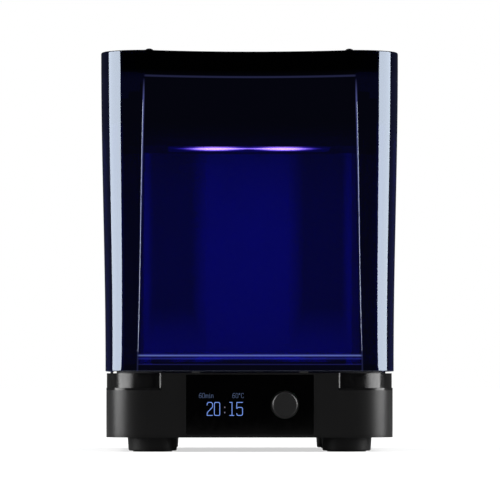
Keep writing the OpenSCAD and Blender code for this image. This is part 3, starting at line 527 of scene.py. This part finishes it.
def make_hood():
    verts, faces = hood_mesh()
    me = bpy.data.meshes.new("hood_shell")
    me.from_pydata(verts, [], faces)
    me.validate()
    bm = bmesh.new()
    bm.from_mesh(me)
    bmesh.ops.remove_doubles(bm, verts=bm.verts, dist=1e-7)
    bmesh.ops.recalc_face_normals(bm, faces=bm.faces)
    bm.to_mesh(me)
    bm.free()
    me.materials.append(tinted("hood_tint", (0.14, 0.11, 0.36), (0.025, 0.03, 0.135), (0.0005, 0.0005, 0.002)))
    for f in me.polygons:
        f.use_smooth = True
    me.set_sharp_from_angle(angle=math.radians(40.0))
    hood = bpy.data.objects.new("hood_shell", me)
    scene.collection.objects.link(hood)
    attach(hood, "hood")
    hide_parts("hood")


make_hood()


# ---------------------------------------------------------------- readout
GLYPH = {                             # strokes in a box of 1 by 1, from its lower left corner
    "2": [[(0, .80), (.03, .92), (.2, 1), (.78, 1), (.97, .92), (1, .82), (1, .70), (.9, .60),
           (.14, .27), (.02, .16), (0, 0), (1, 0)]],
    "0": [[(.2, 0), (.8, 0), (.96, .04), (1, .12), (1, .88), (.96, .96), (.8, 1), (.2, 1),
           (.04, .96), (0, .88), (0, .12), (.04, .04), (.2, 0)]],
    "1": [[(0, 1), (.6, 1), (.6, 0)], [(.05, 0), (1.1, 0)]],
    "5": [[(1, 1), (0, 1), (0, .53), (.25, .62), (.75, .62), (.95, .57), (1, .48), (1, .12),
           (.94, .04), (.8, 0), (.2, 0), (.04, .05), (0, .15)]],
    "6": [[(.95, 1), (.3, .95), (0, .55), (0, .12), (.15, 0), (.8, 0), (1, .12), (1, .42),
           (.8, .56), (.1, .5)]],
    "m": [[(0, 0), (0, .66), (.4, .66), (.5, .5), (.5, 0)],
          [(.5, .5), (.62, .66), (.88, .66), (1, .5), (1, 0)]],
    "i": [[(0, .66), (.5, .66), (.5, 0)], [(.1, 0), (.9, 0)], [(.45, .95), (.55, .95)]],
    "n": [[(0, 0), (0, .66), (.8, .66), (1, .5), (1, 0)]],
    "d": [[(.2, .7), (.8, .7), (.8, 1), (.2, 1), (.2, .7)]],
    "C": [[(1, .82), (.85, 1), (.2, 1), (0, .85), (0, .15), (.2, 0), (.85, 0), (1, .18)]],
}
# Characters with their left and right pixel, and the rows of each line's foot and top.
DIGITS = [("2", 207.1, 212.6), ("0", 214.4, 219.8), ("1", 229.7, 233.6), ("5", 236.8, 242.6)]
DIGIT_FOOT, DIGIT_TOP = 415.4, 402.4
DOTS_LEFT, DOTS_HEIGHT = 224.8, 11.0  # the colon's pixel, and its height in mm
DOT_PLACES = (0.22, 0.62)             # shares of that height
DOT_HALF = 0.2                        # half a dot's height in mm
SMALL = [("6", 199.2, 201.4), ("0", 202.4, 204.6), ("m", 205.6, 208.2), ("i", 209.0, 210.6),
         ("n", 211.4, 213.2), ("6", 232.6, 234.8), ("0", 235.9, 238.0), ("d", 238.9, 240.2),
         ("C", 241.4, 243.6)]
SMALL_FOOT, SMALL_TOP = 397.8, 393.3
LIFT, INK = 0.00004, 0.00003          # the strokes' front before the glass, and their thickness


def readout_material(name, color):
    """Lit cells of the readout, a little uneven."""
    k = Mat(name)
    p = k.principled(Roughness=0.4)
    p.inputs["Base Color"].default_value = (0.02, 0.04, 0.10, 1.0)
    p.inputs["Emission Strength"].default_value = 1.0
    cells = k.noise(1600.0, 1.0)
    k.link(k.ramp(cells, [(0.3, shade(color, 0.85)), (0.7, color)]), p.inputs["Emission Color"])
    return k.m


def on_face(column, row):
    """X and Z of a pixel on the front face, in mm."""
    return (column - MIDDLE_PX) * PX_MM, (BENCH_PX - row) * PX_MM


def placed(chars, foot, top):
    """(glyph, left, bottom, width, height) in mm of characters given by pixels."""
    out = []
    for g, left, right in chars:
        x0, z0 = on_face(left, foot)
        x1, z1 = on_face(right, top)
        out.append((g, x0, z0, x1 - x0, z1 - z0))
    return out


def strokes(name, chars, width, material):
    """Thin strokes, width mm wide, on the front face of the window."""
    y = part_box("display_window")[0][1] - LIFT
    verts, faces = [], []

    def bar(p, q):
        d = Vector((q[0] - p[0], q[1] - p[1]))
        if d.length < 1e-6:
            return
        d.normalize()
        s = Vector((-d.y, d.x)) * width / 2
        e = d * width * 0.42                              # the ends reach over the joints
        b = len(verts)
        for x, z in ((p[0] - e.x + s.x, p[1] - e.y + s.y), (p[0] - e.x - s.x, p[1] - e.y - s.y),
                     (q[0] + e.x - s.x, q[1] + e.y - s.y), (q[0] + e.x + s.x, q[1] + e.y + s.y)):
            verts.append((x * MM, y, z * MM))
        verts.extend([(x, y + INK, z) for x, _, z in verts[b:]])
        faces.extend([(b, b + 1, b + 2, b + 3), (b + 7, b + 6, b + 5, b + 4)])
        for i in range(4):
            j = (i + 1) % 4
            faces.append((b + i, b + 4 + i, b + 4 + j, b + j))

    for g, x, z, w, h in chars:
        if g == ":":
            for share in DOT_PLACES:
                bar((x, z + h * share - DOT_HALF), (x, z + h * share + DOT_HALF))
            continue
        for line in GLYPH[g]:
            for p, q in zip(line, line[1:]):
                bar((x + p[0] * w, z + p[1] * h), (x + q[0] * w, z + q[1] * h))
    me = bpy.data.meshes.new(name)
    me.from_pydata(verts, [], faces)
    me.materials.append(material)
    o = bpy.data.objects.new(name, me)
    scene.collection.objects.link(o)
    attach(o, "base_unit")


strokes("readout_digits", placed(DIGITS, DIGIT_FOOT, DIGIT_TOP), 0.54,
        readout_material("readout_digits", (0.20, 0.34, 0.86)))
strokes("readout_dots", [(":", *on_face(DOTS_LEFT, DIGIT_FOOT), 1.0, DOTS_HEIGHT)], 0.75,
        readout_material("readout_dots", (0.20, 0.17, 0.20)))
strokes("readout_small", placed(SMALL, SMALL_FOOT, SMALL_TOP), 0.34,
        readout_material("readout_small", (0.045, 0.06, 0.10)))


# ---------------------------------------------------------------- stage
def floor():
    """White bench: its own white for the eye, and enough grey underneath to keep the shadow."""
    reach, near_edge = 30.0, -1.9         # it ends a little in front of the object
    me = bpy.data.meshes.new("floor")
    me.from_pydata([(-reach, near_edge, 0), (reach, near_edge, 0), (reach, reach, 0), (-reach, reach, 0)],
                   [], [(0, 1, 2, 3)])
    o = bpy.data.objects.new("floor", me)
    scene.collection.objects.link(o)
    k = Mat("floor")
    grey = k.add("ShaderNodeBsdfDiffuse")
    grey.inputs["Color"].default_value = (0.27, 0.27, 0.27, 1)
    white = k.add("ShaderNodeEmission")
    white.inputs["Color"].default_value = (0.60, 0.60, 0.60, 1)
    lp = k.add("ShaderNodeLightPath")
    seen = k.math("MAXIMUM", lp.outputs["Is Camera Ray"], lp.outputs["Is Transmission Ray"])
    away = k.add("ShaderNodeVectorMath", operation="LENGTH")
    k.link(k.co, away.inputs[0])
    k.link(k.math("MULTIPLY", seen, k.span(away.outputs["Value"], 1.0, 1.6, 0.30, 0.9)), white.inputs["Strength"])
    k.link(k.sum(grey.outputs[0], white.outputs[0]), k.out.inputs["Surface"])
    me.materials.append(k.m)


floor()


def world():
    """White for the eye, a dark room in reflections, and a soft fill for everything else."""
    w = bpy.data.worlds.new("studio")
    scene.world = w
    w.use_nodes = True
    t = w.node_tree
    t.nodes.clear()
    add, link = t.nodes.new, t.links.new
    out = add("ShaderNodeOutputWorld")
    lp = add("ShaderNodeLightPath")

    def background(strength=1.0):
        n = add("ShaderNodeBackground")
        n.inputs["Color"].default_value = (1, 1, 1, 1)
        n.inputs["Strength"].default_value = strength
        return n

    def mix(fac, a, b):
        n = add("ShaderNodeMixShader")
        for i, s in enumerate((fac, a.outputs[0], b.outputs[0])):
            link(s, n.inputs[i])
        return n

    co = add("ShaderNodeTexCoord")
    sep = add("ShaderNodeSeparateXYZ")
    link(co.outputs["Generated"], sep.inputs[0])
    dim = add("ShaderNodeMapRange")       # the room is darkest in front of the object
    dim.inputs["From Min"].default_value = 0.25
    dim.inputs["From Max"].default_value = 0.75
    dim.inputs["To Min"].default_value = 0.004
    dim.inputs["To Max"].default_value = 0.03
    link(sep.outputs["Y"], dim.inputs["Value"])
    room = background()
    link(dim.outputs[0], room.inputs["Strength"])
    seen = add("ShaderNodeMath")
    seen.operation = "MAXIMUM"
    link(lp.outputs["Is Camera Ray"], seen.inputs[0])
    link(lp.outputs["Is Transmission Ray"], seen.inputs[1])
    unseen = mix(lp.outputs["Is Glossy Ray"], background(0.30), room)
    link(mix(seen.outputs[0], unseen, background()).outputs[0], out.inputs["Surface"])


world()


# ---------------------------------------------------------------- lights
WHITE, BLUE = (1.0, 1.0, 1.0), (0.03, 0.05, 1.0)


def area(name, where, to, size, power, color=WHITE, glossy=True, roll=0.0):
    """A rectangular light that faces a point. It is turned about its own axis by roll, in degrees."""
    d = bpy.data.lights.new(name, "AREA")
    d.shape = "RECTANGLE"
    d.size, d.size_y = size
    d.energy = power
    d.color = color
    o = bpy.data.objects.new(name, d)
    scene.collection.objects.link(o)
    o.location = where
    turn = Quaternion((0, 0, 1), math.radians(roll))
    o.rotation_euler = ((Vector(to) - Vector(where)).to_track_quat("-Z", "Y") @ turn).to_euler()
    o.visible_camera = False
    o.visible_glossy = glossy


# The softboxes draw the white strips on the hood's corner columns, and lean back as these do.
for side, name in ((-1, "softbox_l"), (1, "softbox_r")):
    area(name, (side * 1.0, -0.07, 0.62), (0.0, -0.07, 0.62), (0.65, 1.34), 38.0, roll=-20.0 * side)
area("top_soft", (0.0, 0.3, 1.8), (0.0, 0.3, 0.0), (1.6, 1.2), 8.0, glossy=False)
area("lamp_light", (0.0, -0.008, 0.260), (0.0, -0.008, 0.0), (0.13, 0.06), 0.07, BLUE)
area("pane_bounce", (0.0, -0.097, 0.165), (0.0, 0.1, 0.165), (0.17, 0.17), 0.47, BLUE)
